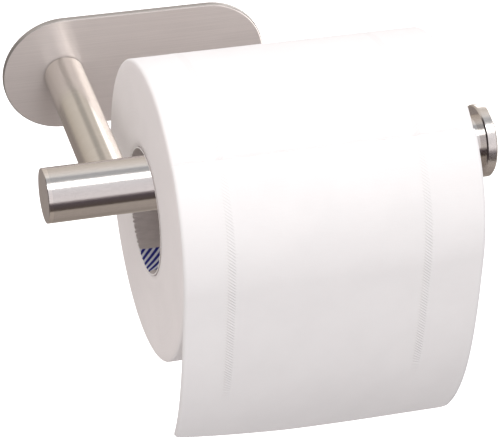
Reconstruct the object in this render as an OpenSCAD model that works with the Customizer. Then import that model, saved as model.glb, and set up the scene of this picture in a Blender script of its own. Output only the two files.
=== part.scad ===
// Wall-mounted toilet paper holder: an obround plate that sticks to the wall, a round
// post, a straight bar with a stop disc, and a paper roll hanging on the bar.
// Origin: centre of the adhesive pad's face on the wall. +X runs along the bar towards
// the stop disc, +Y points into the wall and +Z is up. All sizes are in millimetres.

/* [Wall plate] */
// Length of the plate, end to end
plate_length = 98.5; // [90:0.5:120]
// Height of the plate, which is also the diameter of its round ends
plate_height = 45; // [40:1:55]
// Thickness of the plate
plate_thickness = 2; // [1.8:0.1:3]
// Radius that softens the plate's front edge
plate_edge_radius = 0.6; // [0.3:0.1:1]

/* [Adhesive pad] */
// Thickness of the foam pad behind the plate
pad_thickness = 0.8; // [0.5:0.1:1.5]
// How far the pad's edge lies inside the plate's edge
pad_inset = 1; // [0.5:0.5:3]

/* [Post] */
// Diameter of the post
post_diameter = 15; // [14:0.5:17]
// Distance from the wall to the bar's centre line
bar_standoff = 80; // [72:1:95]
// Chamfer around the foot of the post, where it meets the plate
post_chamfer = 0.6; // [0.3:0.1:1]

/* [Bar] */
// Outside diameter of the bar
bar_diameter = 19; // [18:0.5:22]
// Wall thickness of the bar's tube
bar_wall = 1.5; // [1.2:0.1:2]
// Length of the bar from its left end to the stop disc
bar_length = 154.5; // [148:0.5:166]
// How far the bar's left end stands out past the plate's left end
bar_overhang = 1; // [0:0.5:3]

/* [Stop disc] */
// Diameter of the stop disc
disc_diameter = 26; // [24:0.5:32]
// Thickness of the stop disc
disc_thickness = 4; // [4:0.5:6]
// Chamfer on both edges of the stop disc
disc_chamfer = 0.5; // [0.3:0.1:1]

/* [Fasteners] */
// Thread diameter of the clamp screw and the disc stud
thread_diameter = 5; // [4:0.5:5]
// Diameter of the pin that keeps the post from turning on the plate
pin_diameter = 2; // [1.5:0.5:2]

/* [Paper roll] */
// Outside diameter of the full roll
roll_diameter = 105; // [95:1:115]
// Width of the paper and of its core
roll_width = 104; // [95:1:105]
// Inside diameter of the cardboard core
core_bore = 43; // [40:0.5:45]
// Wall thickness of the cardboard core
core_wall = 0.8; // [0.6:0.1:1]
// Gap between the post's side and the roll's left face
roll_side_gap = 4; // [2:0.5:6]

/* [Loose sheet] */
// Angle above the roll's front at which the last sheet starts, at its perforation
sheet_start_angle = 49.5; // [30:0.5:70]
// Length of the last sheet along its left edge
sheet_left_length = 112; // [105:1:118]
// Length of the last sheet along its right edge
sheet_right_length = 128; // [119:1:132]
// Straight length that hangs below the roll's front before the sheet curls back
sheet_drop = 28; // [20:1:35]
// Radius of the curl that the paper keeps from having been wound
sheet_curl_radius = 70; // [55:1:100]

/* [Hidden] */
$fn = 96;

// Play around a thread and around a plain hole
thread_play = 0.05;
hole_play = 0.6;

// Screw head, a 90 degree countersink as wide as two threads
head_diameter = 2 * thread_diameter;
head_depth = (head_diameter - thread_diameter) / 2;
hex_width = 0.6 * thread_diameter;
hex_depth = 0.8 * head_depth;
screw_tip_past_bar_axis = 0.8;

// Pin between the plate and the post
pin_depth_in_plate = 1.2;
pin_depth_in_post = 4.8;
pin_hole_spare = 0.2;

// Pieces inside the bar
nut_length = 14;
cap_flange = 1.5;
cap_spigot = 6;
cap_chamfer = 0.2;
insert_length = 12;
insert_hole_depth = 9;
stud_length = 11;
stud_depth_in_disc = 2.6;
disc_hole_depth = 2.8;

// Clearances of the roll and of the loose sheet
roll_hang_gap = 0.5;
roll_edge_radius = 1;
sheet_gap = 0.3;
sheet_thickness = 0.4;

// Derived places
plate_back = pad_thickness;
plate_front = plate_back + plate_thickness;
end_centre = (plate_length - plate_height) / 2;
post_x = -end_centre;
post_radius = post_diameter / 2;
pin_offset = (thread_diameter + hole_play + post_diameter) / 4 + 0.5;
bar_radius = bar_diameter / 2;
bar_bore_radius = bar_radius - bar_wall;
bar_y = -bar_standoff;
bar_left = -plate_length / 2 - bar_overhang;
bar_right = bar_left + bar_length;
core_bore_radius = core_bore / 2;
core_radius = core_bore_radius + core_wall;
roll_radius = roll_diameter / 2;
roll_z = bar_radius - core_bore_radius + roll_hang_gap;
roll_left = post_x + post_radius + roll_side_gap;
roll_right = roll_left + roll_width;

// Lengths of the sheet that lie on the roll and that hang, and the curl's angles
sheet_wrap_length = (roll_radius + sheet_gap) * sheet_start_angle * PI / 180;
curl_left = arc_angle(sheet_left_length);
curl_right = arc_angle(sheet_right_length);
curl_top_z = roll_z - sheet_drop;
arc_step = 3;
past = 1;

function arc_angle(length) =
    (length - sheet_wrap_length - sheet_drop) / sheet_curl_radius * 180 / PI;

// Points of a quarter round that softens the corner at [x, y]
function soft_corner(x, y, radius) =
    [for (a = [0:30:90]) [x - radius + radius * cos(a), y - radius + radius * sin(a)]];

// One face of the loose sheet, offset outwards from the roll's surface, in the Y-Z plane
function sheet_face(offset) = concat(
    [for (a = [sheet_start_angle:-arc_step:0]) roll_point(roll_radius + offset, a)],
    [roll_point(roll_radius + offset, 0)],
    [for (a = [0:arc_step:curl_right + arc_step]) curl_point(sheet_curl_radius + offset, a)]
);

function roll_point(radius, a) = [bar_y - radius * cos(a), roll_z + radius * sin(a)];

function curl_point(radius, a) =
    [bar_y - roll_radius + sheet_curl_radius - radius * cos(a), curl_top_z - radius * sin(a)];

function reversed(list) = [for (i = [len(list) - 1:-1:0]) list[i]];

// Stands its children on the plane at that distance from the wall, facing the room
module out_from_wall(distance) {
    translate([0, -distance, 0])
        rotate([90, 0, 0])
            children();
}

// Lays a shape that stands along Z down along +X, on the bar's axis, starting at x
module along_bar(x) {
    translate([x, bar_y, 0])
        rotate([0, 90, 0])
            children();
}

// The same on the roll's axis
module along_roll(x) {
    translate([x, bar_y, roll_z])
        rotate([0, 90, 0])
            children();
}

// Obround slab with a softened upper edge, standing on Z = 0
module obround_slab(length, height, thickness, edge_radius) {
    centre = (length - height) / 2;
    half = height / 2;
    edge = soft_corner(half, thickness, edge_radius);
    end_profile = concat([[0, 0], [half, 0]], edge, [[0, thickness]]);
    left_edge = [for (p = reversed(edge)) [-p[0], p[1]]];
    middle_profile = concat([[-half, 0], [half, 0]], edge, left_edge);
    for (side = [0, 1])
        mirror([side, 0, 0])
            translate([centre, 0, 0])
                rotate([0, 0, -90])
                    rotate_extrude(angle = 180)
                        polygon(end_profile);
    translate([-centre, 0, 0])
        rotate([90, 0, 90])
            linear_extrude(2 * centre)
                polygon(middle_profile);
}

// Countersunk head shape, widest at Z = 0 and narrowing upwards, with its shank
module countersunk(diameter, length) {
    cylinder(h = head_depth, d1 = head_diameter, d2 = thread_diameter);
    cylinder(h = length, d = diameter);
}

module adhesive_pad() {
    color([0.86, 0.86, 0.84])
        out_from_wall(0)
            linear_extrude(pad_thickness)
                for (side = [-1, 1])
                    union() {
                        translate([side * end_centre, 0])
                            circle(d = plate_height - 2 * pad_inset);
                        square([2 * end_centre, plate_height - 2 * pad_inset], center = true);
                    }
}

module wall_plate() {
    color([0.73, 0.69, 0.67])
        out_from_wall(plate_back)
            difference() {
                obround_slab(plate_length, plate_height, plate_thickness, plate_edge_radius);
                translate([post_x, 0, 0])
                    countersunk(thread_diameter + hole_play, plate_thickness + past);
                translate([post_x, -pin_offset, plate_thickness - pin_depth_in_plate - pin_hole_spare])
                    cylinder(h = plate_thickness, d = pin_diameter);
            }
}

module locating_pin() {
    color([0.6, 0.6, 0.62])
        out_from_wall(plate_front - pin_depth_in_plate)
            translate([post_x, -pin_offset, 0])
                cylinder(h = pin_depth_in_plate + pin_depth_in_post, d = pin_diameter);
}

module clamp_screw() {
    screw_length = bar_standoff + screw_tip_past_bar_axis - plate_back;
    color([0.55, 0.55, 0.57])
        out_from_wall(plate_back)
            translate([post_x, 0, 0])
                difference() {
                    countersunk(thread_diameter, screw_length);
                    translate([0, 0, -past])
                        cylinder(h = hex_depth + past, d = hex_width / cos(30), $fn = 6);
                }
}

module post() {
    length = bar_standoff - plate_front;
    bore_radius = (thread_diameter + hole_play) / 2 + 0.3;
    profile = [
        [bore_radius, 0],
        [post_radius - post_chamfer, 0],
        [post_radius, post_chamfer],
        [post_radius, length],
        [bore_radius, length]
    ];
    color([0.72, 0.69, 0.65])
        difference() {
            out_from_wall(plate_front)
                translate([post_x, 0, 0])
                    difference() {
                        rotate_extrude()
                            polygon(profile);
                        translate([0, -pin_offset, -past])
                            cylinder(h = pin_depth_in_post + pin_hole_spare + past, d = pin_diameter);
                    }
            along_bar(post_x - post_diameter)
                cylinder(h = 2 * post_diameter, r = bar_radius);
        }
}

module bar_tube() {
    tube_left = bar_left + cap_flange;
    color([0.75, 0.72, 0.7])
        difference() {
            along_bar(tube_left)
                difference() {
                    cylinder(h = bar_right - tube_left, r = bar_radius);
                    translate([0, 0, -past])
                        cylinder(h = bar_right - tube_left + 2 * past, r = bar_bore_radius);
                }
            out_from_wall(bar_standoff - bar_radius - past)
                translate([post_x, 0, 0])
                    cylinder(h = bar_wall + 2 * past, d = thread_diameter + hole_play);
        }
}

module barrel_nut() {
    color([0.55, 0.55, 0.57])
        difference() {
            along_bar(post_x - nut_length / 2)
                cylinder(h = nut_length, r = bar_bore_radius);
            out_from_wall(bar_standoff - bar_diameter)
                translate([post_x, 0, 0])
                    cylinder(h = 2 * bar_diameter, d = thread_diameter + 2 * thread_play);
        }
}

module left_end_cap() {
    profile = [
        [0, 0],
        [bar_radius - cap_chamfer, 0],
        [bar_radius, cap_chamfer],
        [bar_radius, cap_flange],
        [bar_bore_radius, cap_flange],
        [bar_bore_radius, cap_flange + cap_spigot],
        [0, cap_flange + cap_spigot]
    ];
    color([0.68, 0.65, 0.62])
        along_bar(bar_left)
            rotate_extrude()
                polygon(profile);
}

module right_end_insert() {
    color([0.55, 0.55, 0.57])
        along_bar(bar_right - insert_length)
            difference() {
                cylinder(h = insert_length, r = bar_bore_radius);
                translate([0, 0, insert_length - insert_hole_depth])
                    cylinder(h = insert_hole_depth + past, d = thread_diameter + 2 * thread_play);
            }
}

module disc_stud() {
    color([0.6, 0.6, 0.62])
        along_bar(bar_right + stud_depth_in_disc - stud_length)
            cylinder(h = stud_length, d = thread_diameter);
}

module stop_disc() {
    radius = disc_diameter / 2;
    thread_radius = thread_diameter / 2 + thread_play;
    profile = [
        [thread_radius, 0],
        [radius - disc_chamfer, 0],
        [radius, disc_chamfer],
        [radius, disc_thickness - disc_chamfer],
        [radius - disc_chamfer, disc_thickness],
        [0, disc_thickness],
        [0, disc_hole_depth],
        [thread_radius, disc_hole_depth]
    ];
    color([0.74, 0.71, 0.69])
        along_bar(bar_right)
            rotate_extrude()
                polygon(profile);
}

module core_tube() {
    color([0.66, 0.6, 0.55])
        along_roll(roll_left)
            difference() {
                cylinder(h = roll_width, r = core_radius);
                translate([0, 0, -past])
                    cylinder(h = roll_width + 2 * past, r = core_bore_radius);
            }
}

module paper_roll() {
    right_edge = soft_corner(roll_radius, roll_width, roll_edge_radius);
    left_edge = [for (p = reversed(right_edge)) [p[0], roll_width - p[1]]];
    profile = concat([[core_radius, 0]], left_edge, right_edge, [[core_radius, roll_width]]);
    color([0.93, 0.92, 0.92])
        along_roll(roll_left)
            rotate_extrude()
                polygon(profile);
}

module loose_sheet() {
    low_left = curl_top_z - sheet_curl_radius * sin(curl_left);
    low_right = curl_top_z - sheet_curl_radius * sin(curl_right);
    floor_z = low_right - sheet_curl_radius;
    faces = concat(
        sheet_face(sheet_gap),
        reversed(sheet_face(sheet_gap + sheet_thickness))
    );
    color([0.96, 0.95, 0.95])
        difference() {
            translate([roll_left, 0, 0])
                rotate([90, 0, 90])
                    linear_extrude(roll_right - roll_left)
                        polygon(faces);
            out_from_wall(0)
                linear_extrude(bar_standoff + roll_diameter)
                    polygon([
                        [roll_left, low_left],
                        [roll_right, low_right],
                        [roll_right + past, low_right],
                        [roll_right + past, floor_z],
                        [roll_left - past, floor_z],
                        [roll_left - past, low_left]
                    ]);
        }
}

adhesive_pad();
wall_plate();
locating_pin();
clamp_screw();
post();
bar_tube();
barrel_nut();
left_end_cap();
right_end_insert();
disc_stud();
stop_disc();
core_tube();
paper_roll();
loose_sheet();
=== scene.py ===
"""Looks of a wall-mounted toilet paper holder: brushed metal, a paper roll and its loose sheet.

Metres throughout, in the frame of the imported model: +X along the bar towards the stop disc,
+Y into the wall, +Z up, with the origin on the wall behind the middle of the plate.
"""

import math

import bpy
import numpy as np
from mathutils import Matrix, Vector


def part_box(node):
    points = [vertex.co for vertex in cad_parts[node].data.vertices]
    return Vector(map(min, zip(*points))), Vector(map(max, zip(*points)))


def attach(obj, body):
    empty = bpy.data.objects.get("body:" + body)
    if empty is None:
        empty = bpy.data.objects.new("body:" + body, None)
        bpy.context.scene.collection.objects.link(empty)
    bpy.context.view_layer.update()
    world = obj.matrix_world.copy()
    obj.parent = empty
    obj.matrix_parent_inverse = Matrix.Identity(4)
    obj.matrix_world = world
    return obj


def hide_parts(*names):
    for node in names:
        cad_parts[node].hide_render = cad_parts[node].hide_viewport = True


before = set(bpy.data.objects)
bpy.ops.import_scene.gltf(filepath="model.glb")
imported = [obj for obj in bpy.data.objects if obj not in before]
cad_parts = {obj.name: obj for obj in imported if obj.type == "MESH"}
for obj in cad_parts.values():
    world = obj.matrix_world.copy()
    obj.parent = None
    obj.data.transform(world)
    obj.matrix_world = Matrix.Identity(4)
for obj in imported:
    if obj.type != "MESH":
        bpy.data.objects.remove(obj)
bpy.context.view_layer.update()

MM = 0.001

# Camera: place, turn and angle of view, fitted to the object's edges in the photograph
CAMERA_PLACE = Vector((-0.16799, -0.69215, 0.41326))
CAMERA_YAW = math.radians(17.30)
CAMERA_PITCH = math.radians(34.10)
CAMERA_ROLL = math.radians(2.31)
CAMERA_LENS = 159.55
CAMERA_SENSOR = 36.0

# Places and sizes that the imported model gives
ROLL_LOW, ROLL_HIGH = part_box("paper_roll")
CORE_LOW, CORE_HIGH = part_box("core_tube")
BAR_LOW, BAR_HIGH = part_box("bar_tube")
SHEET_LOW, SHEET_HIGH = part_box("loose_sheet")
PLATE_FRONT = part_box("wall_plate")[0].y
ROLL_Y = (ROLL_LOW.y + ROLL_HIGH.y) / 2
ROLL_Z = (ROLL_LOW.z + ROLL_HIGH.z) / 2
ROLL_RADIUS = (ROLL_HIGH.z - ROLL_LOW.z) / 2
ROLL_WIDTH = ROLL_HIGH.x - ROLL_LOW.x
CORE_RADIUS = (CORE_HIGH.z - CORE_LOW.z) / 2
BAR_Y = (BAR_LOW.y + BAR_HIGH.y) / 2

# Embossed rope lines near both edges of the paper
STRIP_WIDTH = 3.0 * MM
STRIP_FROM_LEFT = 16.3 * MM
STRIP_FROM_RIGHT = 20.0 * MM
STRIP_SLANT = math.tan(math.radians(40))
STRIP_COLUMNS = 8
DASH_DEPTH = 0.30 * MM
# Base colour where the embossing presses the tissue in: the tone of compressed tissue, plus painted
# shade of the dashes
PRESSED_AND_SHADED_TONE = 0.88

# Paper roll
DASHES_AROUND = 288
ROWS_PER_DASH = 3
WOUND_ROWS = DASHES_AROUND * ROWS_PER_DASH
ROLL_SLACK = 0.12 * MM
ROLL_EDGE = 1.0 * MM
FACE_RINGS = 15
SHEET_ANGLE = math.radians(125.5)

# Cardboard core
CORE_WALL = 0.8 * MM
CORE_ROWS = 720
CORE_COLUMNS = 56
CORE_GROOVE = 0.35 * MM
TORN_CENTRE = math.radians(215)
TORN_SPREAD = math.radians(40)
CORE_LEAD = 62 * MM

# Blue bars printed low inside the core, near its left end
LABEL_LENGTH = 13 * MM
LABEL_TOP = -20.5 * MM
LABEL_SLOPE = -1.2
LABEL_PITCH = 1.5 * MM
LABEL_BAR = 0.8 * MM

# Loose sheet: start and lengths as in the imported model, curl and torn edge fitted
SHEET_START = math.radians(49.5)
SHEET_LEFT_LENGTH = 112 * MM
SHEET_RIGHT_LENGTH = 128 * MM
SHEET_CURL = math.radians(27)
SHEET_CURL_REACH = 66.4 * MM
SHEET_GAP = 0.3 * MM
SHEET_BELLY = 4.6 * MM
SHEET_CORNER = 2.5 * MM
PLY_THICKNESS = 0.12 * MM
PLY_STEP = 0.7 * MM
DASH_PITCH = 1.14 * MM
EVEN_ROWS_END = 88 * MM


# ---------------------------------------------------------------- camera, floor and lights

def link(thing):
    bpy.context.scene.collection.objects.link(thing)
    return thing


def make_camera():
    forward = Vector((
        math.sin(CAMERA_YAW) * math.cos(CAMERA_PITCH),
        math.cos(CAMERA_YAW) * math.cos(CAMERA_PITCH),
        -math.sin(CAMERA_PITCH),
    ))
    right = Vector((math.cos(CAMERA_YAW), -math.sin(CAMERA_YAW), 0.0))
    up = right.cross(forward)
    turned_right = math.cos(CAMERA_ROLL) * right + math.sin(CAMERA_ROLL) * up
    turned_up = math.cos(CAMERA_ROLL) * up - math.sin(CAMERA_ROLL) * right
    data = bpy.data.cameras.new("camera")
    data.lens = CAMERA_LENS
    data.sensor_width = CAMERA_SENSOR
    data.clip_end = 30.0
    camera = link(bpy.data.objects.new("camera", data))
    axes = Matrix((turned_right, turned_up, -forward)).transposed()
    camera.matrix_world = Matrix.Translation(CAMERA_PLACE) @ axes.to_4x4()
    bpy.context.scene.camera = camera


def area_light(name, direction, distance, width, height, power):
    """A softbox that looks at the roll from that direction; its width lies along X."""
    target = Vector((0.03, BAR_Y, 0.0))
    outward = Vector(direction).normalized()
    data = bpy.data.lights.new(name, "AREA")
    data.shape = "RECTANGLE"
    data.size = width
    data.size_y = height
    data.energy = power
    lamp = link(bpy.data.objects.new(name, data))
    side = Vector((1, 0, 0)) - outward.x * outward
    side.normalize()
    axes = Matrix((side, outward.cross(side), outward)).transposed()
    lamp.matrix_world = Matrix.Translation(target + distance * outward) @ axes.to_4x4()
    lamp.visible_camera = False
    return lamp


def around_bar(degrees, sideways):
    """Direction at that elevation around the bar's axis, 0 straight out to the front."""
    angle = math.radians(degrees)
    flat = math.sqrt(1 - sideways * sideways)
    return Vector((sideways, -math.cos(angle) * flat, math.sin(angle) * flat))


# The room as the metal sees it: degrees of elevation around the bar's axis, and colour
ROOM = (
    (-180, (0.55, 0.49, 0.43)),
    (-135, (0.42, 0.37, 0.33)),
    (-100, (0.31, 0.27, 0.24)),
    (-76, (0.38, 0.33, 0.30)),
    (-42, (0.41, 0.36, 0.32)),
    (-36, (0.09, 0.07, 0.06)),
    (-10, (0.10, 0.08, 0.09)),
    (-3, (0.30, 0.26, 0.27)),
    (3, (0.88, 0.83, 0.84)),
    (25, (0.82, 0.78, 0.80)),
    (52, (0.83, 0.81, 0.84)),
    (58, (1.30, 1.30, 1.30)),
    (78, (1.30, 1.30, 1.30)),
    (86, (0.48, 0.48, 0.49)),
    (103, (0.47, 0.48, 0.50)),
    (112, (0.86, 0.84, 0.82)),
    (133, (0.80, 0.74, 0.69)),
    (153, (0.70, 0.64, 0.58)),
    (180, (0.55, 0.49, 0.43)),
)

# The soft light that falls on the paper, by the same elevation
DAYLIGHT = (
    (-180, (0.66, 0.635, 0.645)),
    (-90, (0.41, 0.395, 0.40)),
    (-40, (0.46, 0.445, 0.45)),
    (0, (0.75, 0.73, 0.74)),
    (40, (0.99, 0.97, 0.98)),
    (90, (1.08, 1.06, 1.06)),
    (140, (0.88, 0.86, 0.86)),
    (180, (0.66, 0.635, 0.645)),
)


def add_node(tree, kind, inputs=(), **settings):
    """A new node with its settings, and its inputs set to values or linked to sockets."""
    made = tree.nodes.new(kind)
    for name, value in settings.items():
        setattr(made, name, value)
    for key, value in dict(inputs).items():
        socket = made.inputs[key]
        if isinstance(value, bpy.types.NodeSocket):
            tree.links.new(value, socket)
        else:
            socket.default_value = value
    return made


def ramp_node(tree, factor, stops):
    """A colour ramp over (position, colour) stops."""
    ramp = add_node(tree, "ShaderNodeValToRGB", {"Fac": factor})
    elements = ramp.color_ramp.elements
    elements.remove(elements[1])
    elements[0].position = stops[0][0]
    elements[0].color = (*stops[0][1], 1)
    for position, color in stops[1:]:
        elements.new(position).color = (*color, 1)
    return ramp.outputs["Color"]


def tinted(tree, share, base, color):
    """The base colour, turned into the other one as share goes from 0 to 1."""
    mixed = add_node(tree, "ShaderNodeMix", {"Factor": share}, data_type="RGBA")
    tree.links.new(base, mixed.inputs["A"])
    mixed.inputs["B"].default_value = (*color, 1)
    return mixed.outputs["Result"]


def patch(tree, direction, centre, inner, outer, base, color):
    """A round patch of colour in the room, full inside inner degrees, gone outside outer."""
    facing = add_node(tree, "ShaderNodeVectorMath", {0: direction, 1: centre}, operation="DOT_PRODUCT")
    share = add_node(tree, "ShaderNodeMapRange", {
        "Value": facing.outputs["Value"],
        "From Min": math.cos(math.radians(outer)),
        "From Max": math.cos(math.radians(inner)),
    }, interpolation_type="SMOOTHSTEP")
    return tinted(tree, share.outputs["Result"], base, color)


def upright_band(tree, parts, x, half_width, base, color):
    """An upright band of colour in the front half of the room, around that X."""
    shifted = add_node(tree, "ShaderNodeMath", {0: parts.outputs["X"], 1: x}, operation="SUBTRACT")
    off = add_node(tree, "ShaderNodeMath", {0: shifted.outputs[0]}, operation="ABSOLUTE")
    inside = add_node(tree, "ShaderNodeMapRange", {
        "Value": off.outputs[0], "From Min": 1.5 * half_width, "From Max": 0.6 * half_width,
    }, interpolation_type="SMOOTHSTEP")
    in_front = add_node(tree, "ShaderNodeMapRange", {
        "Value": parts.outputs["Y"], "From Min": -0.1, "From Max": -0.3,
    })
    share = add_node(tree, "ShaderNodeMath", {
        0: inside.outputs["Result"], 1: in_front.outputs["Result"],
    }, operation="MULTIPLY")
    return tinted(tree, share.outputs[0], base, color)


def side_wall(tree, sideways, start, full, base, color):
    """The left side of the room, from where it starts to show to where it is full."""
    share = add_node(tree, "ShaderNodeMapRange", {
        "Value": sideways, "From Min": start, "From Max": full,
    }, interpolation_type="SMOOTHSTEP")
    return tinted(tree, share.outputs["Result"], base, color)


def make_world():
    """White to the camera. Reflections get the colours of ROOM with bands and patches set for
    the photograph's reflections, and all other light comes from DAYLIGHT."""
    world = bpy.data.worlds.new("studio")
    bpy.context.scene.world = world
    world.use_nodes = True
    tree = world.node_tree
    tree.nodes.clear()
    direction = add_node(tree, "ShaderNodeTexCoord").outputs["Generated"]
    parts = add_node(tree, "ShaderNodeSeparateXYZ", {"Vector": direction})
    forward = add_node(tree, "ShaderNodeMath", {0: parts.outputs["Y"], 1: -1.0}, operation="MULTIPLY")
    turn = add_node(tree, "ShaderNodeMath", {0: parts.outputs["Z"], 1: forward.outputs[0]},
                    operation="ARCTAN2")
    share = add_node(tree, "ShaderNodeMapRange", {
        "Value": turn.outputs[0], "From Min": -math.pi, "From Max": math.pi,
    })
    elevation = share.outputs["Result"]
    sideways = parts.outputs["X"]
    room = ramp_node(tree, elevation, [((degrees + 180) / 360, color) for degrees, color in ROOM])
    room = patch(tree, direction, (-0.58, -0.79, 0.15), 6, 22, room, (0.95, 0.92, 0.88))
    room = upright_band(tree, parts, -0.10, 0.15, room, (0.03, 0.025, 0.02))
    room = upright_band(tree, parts, 0.61, 0.12, room, (3.0, 2.95, 2.9))
    room = patch(tree, direction, (0.61, 0.79, 0.08), 14, 24, room, (3.0, 2.95, 2.9))
    room = patch(tree, direction, (-0.05, 0.79, 0.61), 3, 14, room, (0.42, 0.39, 0.36))
    room = patch(tree, direction, (-0.40, 0.75, -0.53), 10, 34, room, (0.30, 0.26, 0.24))
    room = side_wall(tree, sideways, -0.68, -0.78, room, (0.05, 0.04, 0.04))
    stops = [((degrees + 180) / 360, color) for degrees, color in DAYLIGHT]
    daylight = ramp_node(tree, elevation, stops)
    daylight = side_wall(tree, sideways, -0.2, -0.7, daylight, (0.75, 0.70, 0.68))
    seen = add_node(tree, "ShaderNodeBackground", {"Color": (1, 1, 1, 1), "Strength": 1.0})
    mirrored = add_node(tree, "ShaderNodeBackground", {"Color": room, "Strength": 1.0})
    falling = add_node(tree, "ShaderNodeBackground", {"Color": daylight, "Strength": 1.0})
    ray = add_node(tree, "ShaderNodeLightPath")
    light = add_node(tree, "ShaderNodeMixShader", {
        0: ray.outputs["Is Glossy Ray"], 1: falling.outputs[0], 2: mirrored.outputs[0],
    })
    choice = add_node(tree, "ShaderNodeMixShader", {
        0: ray.outputs["Is Camera Ray"], 1: light.outputs[0], 2: seen.outputs[0],
    })
    add_node(tree, "ShaderNodeOutputWorld", {"Surface": choice.outputs[0]})


def make_floor():
    size = 6.0
    corners = [(-size, -size, 0), (size, -size, 0), (size, size, 0), (-size, size, 0)]
    mesh = bpy.data.meshes.new("floor")
    mesh.from_pydata(corners, [], [(0, 1, 2, 3)])
    floor = link(bpy.data.objects.new("floor", mesh))
    floor.location.z = -0.45
    floor.visible_diffuse = False
    floor.visible_glossy = False
    floor.visible_shadow = False
    material = bpy.data.materials.new("pale_floor")
    material.use_nodes = True
    shader = material.node_tree.nodes["Principled BSDF"]
    shader.inputs["Base Color"].default_value = (0.9, 0.9, 0.9, 1)
    shader.inputs["Roughness"].default_value = 0.9
    shader.inputs["Emission Color"].default_value = (1, 1, 1, 1)
    shader.inputs["Emission Strength"].default_value = 0.8
    mesh.materials.append(material)


# ---------------------------------------------------------------- materials

def new_material(name, **values):
    """A Principled material with these constants, its tree and its shader."""
    material = bpy.data.materials.new(name)
    material.use_nodes = True
    tree = material.node_tree
    shader = tree.nodes["Principled BSDF"]
    for socket, value in values.items():
        shader.inputs[socket.title()].default_value = value
    return material, tree, shader


def object_place(tree, origin=(0, 0, 0), scale=(1, 1, 1)):
    """Place on the piece, measured from origin and then scaled."""
    place = add_node(tree, "ShaderNodeTexCoord").outputs["Object"]
    moved = add_node(tree, "ShaderNodeVectorMath", {0: place, 1: origin}, operation="SUBTRACT")
    scaled = add_node(tree, "ShaderNodeVectorMath", {0: moved.outputs[0], 1: scale},
                      operation="MULTIPLY")
    return scaled.outputs[0]


def noise(tree, place, detail=2.0, roughness=0.5):
    made = add_node(tree, "ShaderNodeTexNoise", {
        "Vector": place, "Scale": 1.0, "Detail": detail, "Roughness": roughness,
    })
    return made.outputs["Fac"]


def bump(tree, height, distance, strength=1.0, below=None):
    made = add_node(tree, "ShaderNodeBump", {
        "Height": height, "Distance": distance, "Strength": strength,
    })
    if below is not None:
        tree.links.new(below, made.inputs["Normal"])
    return made.outputs["Normal"]


def facing_along(tree, axis):
    """1 where the surface faces along that axis, either way, and 0 where it faces across it."""
    facing = add_node(tree, "ShaderNodeNewGeometry").outputs["True Normal"]
    parts = add_node(tree, "ShaderNodeSeparateXYZ", {"Vector": facing})
    size = add_node(tree, "ShaderNodeMath", {0: parts.outputs[axis]}, operation="ABSOLUTE")
    return size.outputs[0]


def brushed_metal(name, color, roughness, anisotropy, grain, lines_along, depth, metallic=1.0):
    """Brushed steel. grain is the noise's scale along X, Y and Z, per metre, and lines_along
    is the direction of the brush lines, across which the gloss spreads."""
    material, tree, shader = new_material(name, metallic=metallic)
    shader.inputs["Anisotropic"].default_value = anisotropy
    lines = noise(tree, object_place(tree, scale=grain), detail=3.0, roughness=0.6)
    broad = noise(tree, object_place(tree, scale=(14, 14, 14)), detail=1.0)
    darker = tuple(0.93 * c for c in color)
    tone = ramp_node(tree, lines, [(0.3, darker), (0.7, color)])
    tint = add_node(tree, "ShaderNodeMix", {"Factor": broad}, data_type="RGBA", blend_type="MULTIPLY")
    tree.links.new(tone, tint.inputs["A"])
    tint.inputs["B"].default_value = (0.96, 0.95, 0.94, 1)
    tree.links.new(tint.outputs["Result"], shader.inputs["Base Color"])
    rough = add_node(tree, "ShaderNodeMapRange", {
        "Value": lines, "To Min": roughness * 0.85, "To Max": roughness * 1.15,
    })
    tree.links.new(rough.outputs["Result"], shader.inputs["Roughness"])
    tree.links.new(bump(tree, lines, depth), shader.inputs["Normal"])
    facing = add_node(tree, "ShaderNodeNewGeometry").outputs["Normal"]
    tangent = add_node(tree, "ShaderNodeVectorMath", {0: facing, 1: lines_along},
                       operation="CROSS_PRODUCT")
    tree.links.new(tangent.outputs[0], shader.inputs["Tangent"])
    return material


def plate_material():
    """Steel brushed along its length, darker on its cut edges."""
    material = brushed_metal("plate_steel", (0.86, 0.80, 0.775), 0.36, 0.93,
                             (45, 900, 2600), (1, 0.01, 0.02), 0.004 * MM, metallic=0.62)
    tree = material.node_tree
    shader = tree.nodes["Principled BSDF"]
    on_edge = add_node(tree, "ShaderNodeMapRange", {
        "Value": facing_along(tree, "Y"), "From Min": 0.95, "From Max": 0.75,
    })
    face = shader.inputs["Base Color"].links[0].from_socket
    edge = tinted(tree, on_edge.outputs["Result"], face, (0.42, 0.39, 0.37))
    tree.links.new(edge, shader.inputs["Base Color"])
    return material


def post_material():
    """Brushed steel, with painted shade: a dark line round the foot where it meets the plate."""
    material = brushed_metal("post_steel", (0.80, 0.77, 0.73), 0.18, 0.3,
                             (60, 2400, 60), (0.01, 0, 1), 0.002 * MM)
    tree = material.node_tree
    shader = tree.nodes["Principled BSDF"]
    parts = add_node(tree, "ShaderNodeSeparateXYZ", {
        "Vector": object_place(tree, origin=(0, PLATE_FRONT, 0)),
    })
    # Painted shade: the post's last half millimetre next to the plate turns dark
    foot_shade_share = add_node(tree, "ShaderNodeMapRange", {
        "Value": parts.outputs["Y"], "From Min": -0.55 * MM, "From Max": -0.30 * MM,
    }, interpolation_type="SMOOTHSTEP")
    steel = shader.inputs["Base Color"].links[0].from_socket
    seam = tinted(tree, foot_shade_share.outputs["Result"], steel, (0.10, 0.08, 0.07))
    tree.links.new(seam, shader.inputs["Base Color"])
    return material


def bar_material():
    return brushed_metal("bar_steel", (0.80, 0.77, 0.75), 0.13, 0.2,
                         (600, 1900, 1900), (1, 0.01, 0.02), 0.011 * MM)


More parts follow.
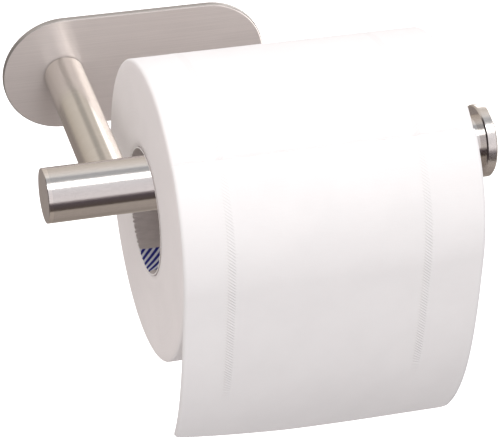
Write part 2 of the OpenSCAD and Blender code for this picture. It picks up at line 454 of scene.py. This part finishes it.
def cap_material():
    """A satin face, and a side polished together with the bar."""
    material = brushed_metal("cap_steel", (0.90, 0.86, 0.83), 0.50, 0.2,
                             (500, 500, 1800), (0, 1, 0.02), 0.002 * MM)
    tree = material.node_tree
    shader = tree.nodes["Principled BSDF"]
    satin = shader.inputs["Roughness"].links[0].from_socket
    gloss = add_node(tree, "ShaderNodeMapRange", {
        "Value": facing_along(tree, "X"), "From Min": 0.5, "From Max": 0.9, "To Min": 0.13,
    })
    tree.links.new(satin, gloss.inputs["To Max"])
    tree.links.new(gloss.outputs["Result"], shader.inputs["Roughness"])
    return material


def disc_material():
    return brushed_metal("disc_steel", (0.80, 0.77, 0.75), 0.19, 0.2,
                         (500, 700, 700), (1, 0.01, 0.02), 0.003 * MM)


def fastener_material():
    return brushed_metal("fastener_steel", (0.62, 0.62, 0.63), 0.35, 0.0,
                         (900, 900, 900), (0.01, 1, 0.02), 0.004 * MM)


def foam_material():
    """Off-white foam tape: fine cells and a slightly uneven colour."""
    material, tree, shader = new_material("pad_foam", roughness=0.9)
    cells = add_node(tree, "ShaderNodeTexVoronoi", {
        "Vector": object_place(tree), "Scale": 2200.0,
    })
    cloud = noise(tree, object_place(tree, scale=(90, 90, 90)), detail=3.0)
    tone = ramp_node(tree, cloud, [(0.3, (0.78, 0.78, 0.76)), (0.7, (0.86, 0.86, 0.84))])
    tree.links.new(tone, shader.inputs["Base Color"])
    tree.links.new(bump(tree, cells.outputs["Distance"], 0.1 * MM, 0.7), shader.inputs["Normal"])
    return material


def tissue_material(name, color):
    """Soft creped tissue: fine fibre and creases that run across the web, along X."""
    material, tree, shader = new_material(name, roughness=0.95)
    shader.inputs["Specular IOR Level"].default_value = 0.15
    shader.inputs["Sheen Weight"].default_value = 0.12
    shader.inputs["Sheen Roughness"].default_value = 0.6
    fibre = noise(tree, object_place(tree, scale=(1500, 1500, 1500)), detail=3.0, roughness=0.65)
    crepe = noise(tree, object_place(tree, scale=(260, 1500, 1500)), detail=2.0)
    cloud = noise(tree, object_place(tree, scale=(60, 60, 60)), detail=3.0)
    darker = tuple(0.965 * c for c in color)
    tone = ramp_node(tree, cloud, [(0.3, darker), (0.7, color)])
    # Darker where the embossing presses in: compressed tissue's own tone, and painted shade of the
    # dashes
    pressed_and_shaded = add_node(tree, "ShaderNodeAttribute", attribute_name="pressed_and_shaded").outputs["Fac"]
    tone = tinted(tree, pressed_and_shaded, tone, tuple(PRESSED_AND_SHADED_TONE * c for c in color))
    tree.links.new(tone, shader.inputs["Base Color"])
    soft = bump(tree, crepe, 0.05 * MM, 0.5)
    tree.links.new(bump(tree, fibre, 0.03 * MM, 0.5, soft), shader.inputs["Normal"])
    return material


def roll_material():
    """Tissue on the outside and, on the end faces, the fine edges of its wound layers."""
    material = tissue_material("wound_tissue", (0.91, 0.89, 0.89))
    tree = material.node_tree
    shader = tree.nodes["Principled BSDF"]
    place = object_place(tree, origin=(0, ROLL_Y, ROLL_Z), scale=(0, 1, 1))
    radius = add_node(tree, "ShaderNodeVectorMath", {0: place}, operation="LENGTH").outputs["Value"]
    wobble = noise(tree, object_place(tree, scale=(40, 120, 120)), detail=2.0)
    spread = add_node(tree, "ShaderNodeMath", {0: wobble, 1: 0.6 * MM, 2: radius},
                      operation="MULTIPLY_ADD")
    layer = add_node(tree, "ShaderNodeCombineXYZ", {"X": spread.outputs[0]})
    scaled = add_node(tree, "ShaderNodeVectorMath", {0: layer.outputs[0], 1: (1600, 0, 0)},
                      operation="MULTIPLY")
    layers = noise(tree, scaled.outputs[0], detail=3.0, roughness=0.7)
    on_face = add_node(tree, "ShaderNodeMapRange", {
        "Value": facing_along(tree, "X"), "From Min": 0.7, "From Max": 0.95,
    })
    edge_lines = add_node(tree, "ShaderNodeMath", {0: layers, 1: on_face.outputs["Result"]},
                          operation="MULTIPLY")
    below = shader.inputs["Normal"].links[0].from_socket
    tree.links.new(bump(tree, edge_lines.outputs[0], 0.10 * MM, 0.6, below), shader.inputs["Normal"])
    tone = shader.inputs["Base Color"].links[0].from_socket
    shade = add_node(tree, "ShaderNodeMix", {"Factor": edge_lines.outputs[0]},
                     data_type="RGBA", blend_type="MULTIPLY")
    tree.links.new(tone, shade.inputs["A"])
    shade.inputs["B"].default_value = (0.93, 0.90, 0.89, 1)
    tree.links.new(shade.outputs["Result"], shader.inputs["Base Color"])
    return material


def core_material():
    """Grey-brown cardboard with plain slanted blue bars, in place of the photograph's print."""
    material, tree, shader = new_material("core_cardboard", roughness=0.85)
    fibre = noise(tree, object_place(tree, scale=(220, 900, 900)), detail=4.0, roughness=0.7)
    board = ramp_node(tree, fibre, [(0.3, (0.48, 0.44, 0.43)), (0.7, (0.57, 0.52, 0.51))])
    parts = add_node(tree, "ShaderNodeSeparateXYZ", {
        "Vector": object_place(tree, origin=(ROLL_LOW.x, ROLL_Y, ROLL_Z)),
    })
    turn = add_node(tree, "ShaderNodeMath", {0: parts.outputs["Z"], 1: parts.outputs["Y"]},
                    operation="ARCTAN2")
    arc = add_node(tree, "ShaderNodeMath", {0: turn.outputs[0], 1: CORE_RADIUS},
                   operation="MULTIPLY")
    across = add_node(tree, "ShaderNodeMath", {
        0: parts.outputs["X"], 1: LABEL_SLOPE, 2: arc.outputs[0],
    }, operation="MULTIPLY_ADD")
    band = add_node(tree, "ShaderNodeMath", {0: across.outputs[0], 1: LABEL_PITCH},
                    operation="PINGPONG")
    in_bar = add_node(tree, "ShaderNodeMath", {0: band.outputs[0], 1: LABEL_BAR},
                      operation="LESS_THAN")
    near_end = add_node(tree, "ShaderNodeMath", {0: parts.outputs["X"], 1: LABEL_LENGTH},
                        operation="LESS_THAN")
    low = add_node(tree, "ShaderNodeMath", {0: parts.outputs["Z"], 1: LABEL_TOP},
                   operation="LESS_THAN")
    both = add_node(tree, "ShaderNodeMath", {0: near_end.outputs[0], 1: low.outputs[0]},
                    operation="MULTIPLY")
    printed = add_node(tree, "ShaderNodeMath", {0: both.outputs[0], 1: in_bar.outputs[0]},
                       operation="MULTIPLY")
    label = tinted(tree, both.outputs[0], board, (0.62, 0.64, 0.72))
    inked = tinted(tree, printed.outputs[0], label, (0.01, 0.015, 0.20))
    cut_end = add_node(tree, "ShaderNodeMapRange", {
        "Value": facing_along(tree, "X"), "From Min": 0.45, "From Max": 0.75,
    })
    cut = tinted(tree, cut_end.outputs["Result"], inked, (0.88, 0.86, 0.84))
    tree.links.new(cut, shader.inputs["Base Color"])
    tree.links.new(bump(tree, fibre, 0.06 * MM, 0.7), shader.inputs["Normal"])
    return material


# ---------------------------------------------------------------- meshes

def grid_faces(rows, columns, first=0, rows_closed=False, columns_closed=False, flipped=False):
    """Quads of a grid of points stored row by row, from that first index."""
    row = np.arange(rows if rows_closed else rows - 1)
    column = np.arange(columns if columns_closed else columns - 1)
    r, c = np.meshgrid(row, column, indexing="ij")
    r, c = r.ravel(), c.ravel()
    next_r, next_c = (r + 1) % rows, (c + 1) % columns
    corners = [r * columns + c, r * columns + next_c, next_r * columns + next_c, next_r * columns + c]
    if flipped:
        corners.reverse()
    return first + np.stack(corners, axis=1)


def new_piece(name, points, faces, material, body, pressed_and_shaded=None):
    """A mesh piece on a body, with a 0 to 1 value for each point of how far embossing squeezed it; the
    material darkens it by that, as the tone of compressed tissue and as painted shade of the dashes.
    """
    mesh = bpy.data.meshes.new(name)
    mesh.from_pydata(np.asarray(points).reshape(-1, 3).tolist(), [], np.asarray(faces).tolist())
    mesh.shade_smooth()
    if pressed_and_shaded is not None:
        values = mesh.attributes.new("pressed_and_shaded", "FLOAT", "POINT")
        values.data.foreach_set("value", np.asarray(pressed_and_shaded, np.float32).ravel())
    mesh.materials.append(material)
    piece = link(bpy.data.objects.new(name, mesh))
    piece.visible_glossy = False  # the metal mirrors the room and other metal, not the paper
    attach(piece, body)
    return piece


def smooth_step(value):
    t = np.clip(value, 0, 1)
    return t * t * (3 - 2 * t)


def strip_centres():
    return (ROLL_LOW.x + STRIP_FROM_LEFT, ROLL_HIGH.x - STRIP_FROM_RIGHT)


def paper_columns(left, right, spacing):
    """X of each column of a paper surface: close together in the embossed strips."""
    half = STRIP_WIDTH / 2
    stops = [left]
    for centre in strip_centres():
        stops += [centre - half, centre + half]
    stops.append(right)
    xs = [np.array([left])]
    for index, (a, b) in enumerate(zip(stops, stops[1:])):
        count = STRIP_COLUMNS if index % 2 else max(2, round((b - a) / spacing))
        xs.append(np.linspace(a, b, count + 1)[1:])
    return np.concatenate(xs)


def strip_mask(x):
    """1 inside the embossed strips and 0 outside, with soft sides."""
    nearest = np.min([np.abs(x - c) for c in strip_centres()], axis=0)
    return smooth_step((STRIP_WIDTH / 2 - nearest) / (0.15 * STRIP_WIDTH))


def strip_shift(x):
    """How far down the web a column is moved, so that the rows follow the slanted dashes."""
    shift = np.zeros_like(x)
    for centre in strip_centres():
        off = x - centre
        inside = np.clip(off, -STRIP_WIDTH / 2, STRIP_WIDTH / 2)
        fade = 1 - smooth_step((np.abs(off) - STRIP_WIDTH / 2) / (6 * MM))
        shift += STRIP_SLANT * inside * fade
    return shift


def waves(a, b, seed):
    """Smooth unevenness between -1 and 1 over two coordinates in radians."""
    total = 0
    for k in range(1, 5):
        phase = seed * 1.7 + 2.3 * k
        total = total + np.sin(k * a * 1.3 + phase + 0.7 * np.sin(b * k + phase)) / k
        total = total + np.cos(k * b * 1.1 - phase) / (2 * k)
    return total / 3.2


def make_roll_paper():
    """The wound paper as one closed skin: end faces with ridges, rounded edges and an
    embossed outside. Each row of points is one profile, and the rows go round the axis."""
    outside = paper_columns(ROLL_LOW.x + ROLL_EDGE, ROLL_HIGH.x - ROLL_EDGE, 2.4 * MM)
    shift = strip_shift(outside)
    mask = strip_mask(outside)
    radius = ROLL_RADIUS - ROLL_SLACK
    rows = np.arange(WOUND_ROWS)
    row_angle = rows * 2 * math.pi / WOUND_ROWS
    angle = row_angle[:, None] + shift[None, :] / radius
    along = (outside - ROLL_LOW.x) / ROLL_WIDTH
    dash = np.cos(2 * math.pi * rows / ROWS_PER_DASH)[:, None]
    dash = dash * (0.7 + 0.3 * waves(9 * row_angle, 4 * row_angle, 6))[:, None]
    out_radius = radius + 0.3 * DASH_DEPTH * dash * mask[None, :]
    out_radius = out_radius + 0.10 * MM * waves(2 * angle, 5 * along[None, :], 1)
    sheet_turn = np.mod(angle - SHEET_START, SHEET_ANGLE) / SHEET_ANGLE
    nearness = np.minimum(sheet_turn, 1 - sheet_turn) * SHEET_ANGLE * radius
    out_radius = out_radius - 0.16 * MM * (nearness < 0.25 * MM) * (np.arange(len(outside)) % 5 > 0)
    out_x = np.broadcast_to(outside[None, :], out_radius.shape)

    rings = np.linspace(CORE_RADIUS + CORE_GROOVE, radius - ROLL_EDGE, FACE_RINGS - 1)
    rings = np.concatenate([[CORE_RADIUS], rings])
    face_radius = np.broadcast_to(rings[None, :], (WOUND_ROWS, FACE_RINGS))
    ring_angle = np.broadcast_to(row_angle[:, None], face_radius.shape)
    ridge = 0.10 * MM * np.sin(2.4 * np.arange(FACE_RINGS) ** 1.3)[None, :]
    ridge = ridge + 0.10 * MM * waves(ring_angle, 9 * face_radius / radius, 2)
    ridge[:, 0] += 2 * CORE_GROOVE
    bend = np.radians([25, 50, 75])
    edge_radius = radius - ROLL_EDGE + ROLL_EDGE * np.sin(bend)
    edge_in = ROLL_EDGE - ROLL_EDGE * np.cos(bend)
    edge_wave = 0.06 * MM * waves(3 * ring_angle[:, :3], 4 * np.ones((1, 3)), 3)
    edge_angle = ring_angle[:, :3]

    xs = np.concatenate([
        ROLL_LOW.x + 0.1 * MM + ridge, ROLL_LOW.x + 0.1 * MM + edge_in[None, :] + edge_wave, out_x,
        ROLL_HIGH.x - 0.1 * MM - edge_in[None, ::-1] - edge_wave,
        ROLL_HIGH.x - 0.1 * MM - ridge[:, ::-1],
    ], axis=1)
    edges = np.broadcast_to(edge_radius[None, :], edge_angle.shape)
    radii = np.concatenate([
        face_radius, edges + edge_wave, out_radius, edges[:, ::-1] + edge_wave, face_radius[:, ::-1],
    ], axis=1)
    angles = np.concatenate([ring_angle, edge_angle, angle, edge_angle, ring_angle], axis=1)
    points = np.stack([xs, ROLL_Y - radii * np.cos(angles), ROLL_Z + radii * np.sin(angles)], axis=2)
    faces = grid_faces(WOUND_ROWS, xs.shape[1], rows_closed=True, columns_closed=True)
    # Darkening in the embossed troughs: compressed tissue tone plus painted shade
    pressed_and_shaded = np.zeros(xs.shape)
    first = FACE_RINGS + len(bend)
    pressed_and_shaded[:, first:first + len(outside)] = (0.3 - 0.3 * dash) * mask[None, :]
    piece = new_piece("wound_paper", points, faces, roll_material(), "roll", pressed_and_shaded)
    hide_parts("paper_roll")


def make_core():
    """The cardboard core: a spiral-wound tube with a seam, and ends crimped by the saw."""
    left, right = ROLL_LOW.x, ROLL_HIGH.x
    reach = np.linspace(0, 1, CORE_COLUMNS)
    reach = 0.5 - 0.5 * np.cos(math.pi * reach)
    angle = (np.arange(CORE_ROWS) * 2 * math.pi / CORE_ROWS)[:, None]
    x = left + reach[None, :] * (right - left) + 0 * angle
    from_end = np.minimum(x - left, right - x)
    at_end = np.exp(-from_end / (0.6 * MM))
    turn = np.mod((x - left) / CORE_LEAD + angle / (2 * math.pi), 1)
    seam = 0.12 * MM * np.exp(-turn * 40)
    torn = 0.25 + np.exp(-((angle - TORN_CENTRE) / TORN_SPREAD) ** 2)
    jagged = np.sin(71 * angle) * np.sin(13 * angle + 1) + 0.7 * np.sin(113 * angle + 2)
    wall = CORE_WALL * (1 - 0.35 * at_end) + seam
    inner = CORE_RADIUS - wall - 0.22 * MM * at_end * torn * jagged
    outer = CORE_RADIUS - 0.05 * MM + 0 * x
    frayed = 0.25 * MM * at_end * torn * np.sin(89 * angle + 1.0) * np.cos(17 * angle)
    x = x + frayed * np.sign(right + left - 2 * x)
    xs = np.concatenate([x, x[:, ::-1]], axis=1)
    radii = np.concatenate([inner, outer], axis=1)
    points = np.stack([
        xs, ROLL_Y - radii * np.cos(angle), ROLL_Z + radii * np.sin(angle),
    ], axis=2)
    faces = grid_faces(CORE_ROWS, xs.shape[1], rows_closed=True, columns_closed=True, flipped=True)
    piece = new_piece("cardboard_core", points, faces, core_material(), "roll")
    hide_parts("core_tube")


def web_point(s, offset):
    """Y and Z of the web after a length s from its perforation, that far outside the roll:
    round the roll's front and then down, curling back more and more towards its end."""
    wrap = ROLL_RADIUS * SHEET_START
    step = 0.25 * MM
    fine = np.arange(0, SHEET_RIGHT_LENGTH + 10 * MM, step)
    fallen = np.maximum(fine - wrap, 0)
    facing = np.where(fine < wrap, SHEET_START - fine / ROLL_RADIUS,
                      -SHEET_CURL * (fallen / SHEET_CURL_REACH) ** 2)
    fine_y = ROLL_Y - ROLL_RADIUS * math.cos(SHEET_START) - step * np.cumsum(np.sin(facing))
    fine_z = ROLL_Z + ROLL_RADIUS * math.sin(SHEET_START) - step * np.cumsum(np.cos(facing))
    turn = np.interp(s, fine, facing)
    y = np.interp(s, fine, fine_y) - offset * np.cos(turn)
    z = np.interp(s, fine, fine_z) + offset * np.sin(turn)
    return y, z


def sheet_length(share, shorter=0.0):
    """Length of the sheet at that share of its width: slanted, bellied, with round corners."""
    length = SHEET_LEFT_LENGTH + (SHEET_RIGHT_LENGTH - SHEET_LEFT_LENGTH) * share
    length = length + SHEET_BELLY * 4 * share * (1 - share)
    from_side = np.minimum(share, 1 - share) * ROLL_WIDTH
    near = 1 - np.clip(from_side / SHEET_CORNER, 0, 1)
    return length - SHEET_CORNER * (1 - np.sqrt(1 - near * near)) - shorter


def make_ply(name, columns, rows, offset, embossed, shorter, material):
    """One ply of the loose sheet, closed, with its thickness between two grids of points."""
    share = (columns - columns[0]) / (columns[-1] - columns[0])
    length = sheet_length(share, shorter)[None, :]
    low = np.maximum(rows[:, None] - EVEN_ROWS_END, 0) / (rows[-1] - EVEN_ROWS_END)
    s = np.minimum(rows[:, None], EVEN_ROWS_END) + low * (length - EVEN_ROWS_END)
    ends = smooth_step(rows / (6 * MM)) * smooth_step((EVEN_ROWS_END - rows) / (10 * MM) + 0.4)
    if embossed:
        s = s + strip_shift(columns)[None, :] * ends[:, None]
    teeth = 0.3 * MM * (np.arange(len(columns)) % 2) * (1 - smooth_step(rows / (0.9 * MM)))[:, None]
    s = s + teeth
    hanging = smooth_step((s - 52 * MM) / (45 * MM))
    ripple = hanging * 0.25 * MM * waves(s / (30 * MM), share[None, :] * 6, 4)
    lift = offset * smooth_step(0.45 + s / (8 * MM)) + 0.05 * MM
    lift = lift + ripple + 0.3 * MM * hanging
    dash = np.zeros_like(s)
    if embossed:
        fade = smooth_step((rows[-1] - 31 * MM - rows) / (16 * MM))
        fade = fade * (0.35 + 0.65 * smooth_step((rows - 5 * MM) / (25 * MM)))
        fade = fade * (0.75 + 0.25 * waves(rows / (3 * MM), rows / (7 * MM), 6))
        wave = 0.5 + 0.5 * np.cos(2 * math.pi * rows / DASH_PITCH)
        dash = DASH_DEPTH * (wave * fade)[:, None] * strip_mask(columns)[None, :]
    x = columns[None, :] + 0 * s
    grids = []
    for skin in (0.0, PLY_THICKNESS):
        y, z = web_point(s, lift + dash + skin)
        grids.append(np.stack([x, y, z], axis=2))
    count_rows, count_columns = s.shape
    points = np.concatenate([g.reshape(-1, 3) for g in grids])
    size = count_rows * count_columns
    faces = [
        grid_faces(count_rows, count_columns, flipped=True),
        grid_faces(count_rows, count_columns, first=size),
    ]
    index = np.arange(size).reshape(count_rows, count_columns)
    rim = np.concatenate([index[0, :], index[1:, -1], index[-1, -2::-1], index[-2:0:-1, 0]])
    following = np.roll(rim, -1)
    faces.append(np.stack([rim, following, following + size, rim + size], axis=1))
    # Darkening in the embossed troughs: compressed tissue tone plus painted shade
    pressed_and_shaded = np.zeros_like(s)
    if embossed:
        pressed_and_shaded = fade[:, None] * strip_mask(columns)[None, :] - dash / DASH_DEPTH
    piece = new_piece(name, points, np.concatenate(faces), material, "sheet", [pressed_and_shaded, pressed_and_shaded])
    return piece


def make_loose_sheet():
    material = tissue_material("sheet_tissue", (0.93, 0.915, 0.915))
    left, right = SHEET_LOW.x, SHEET_HIGH.x
    dense = np.arange(0, EVEN_ROWS_END, DASH_PITCH / 4)
    tail = np.linspace(dense[-1], SHEET_RIGHT_LENGTH, 60)[1:]
    columns = paper_columns(left, right, 1.3 * MM)
    front = make_ply("tissue_front_ply", columns, np.concatenate([dense, tail]),
                     SHEET_GAP + 0.14 * MM, True, 0.0, material)
    coarse_rows = np.linspace(0, SHEET_RIGHT_LENGTH, 110)
    coarse_columns = np.linspace(left, right, 70)
    make_ply("tissue_back_ply", coarse_columns, coarse_rows, SHEET_GAP - 0.02 * MM, False,
             PLY_STEP, material)
    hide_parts("loose_sheet")


def paint(node, material):
    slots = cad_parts[node].data.materials
    slots.clear()
    slots.append(material)


def paint_metal():
    paint("wall_plate", plate_material())
    paint("post", post_material())
    paint("bar_tube", bar_material())
    paint("left_end_cap", cap_material())
    paint("stop_disc", disc_material())
    steel = fastener_material()
    for node in ("locating_pin", "clamp_screw", "barrel_nut", "right_end_insert", "disc_stud"):
        paint(node, steel)
    paint("adhesive_pad", foam_material())


bpy.context.scene.view_settings.view_transform = "Standard"
make_camera()
make_world()
area_light("key", around_bar(68, 0.06), 1.0, 1.1, 0.33, 3.6)
make_floor()
paint_metal()
make_roll_paper()
make_core()
make_loose_sheet()
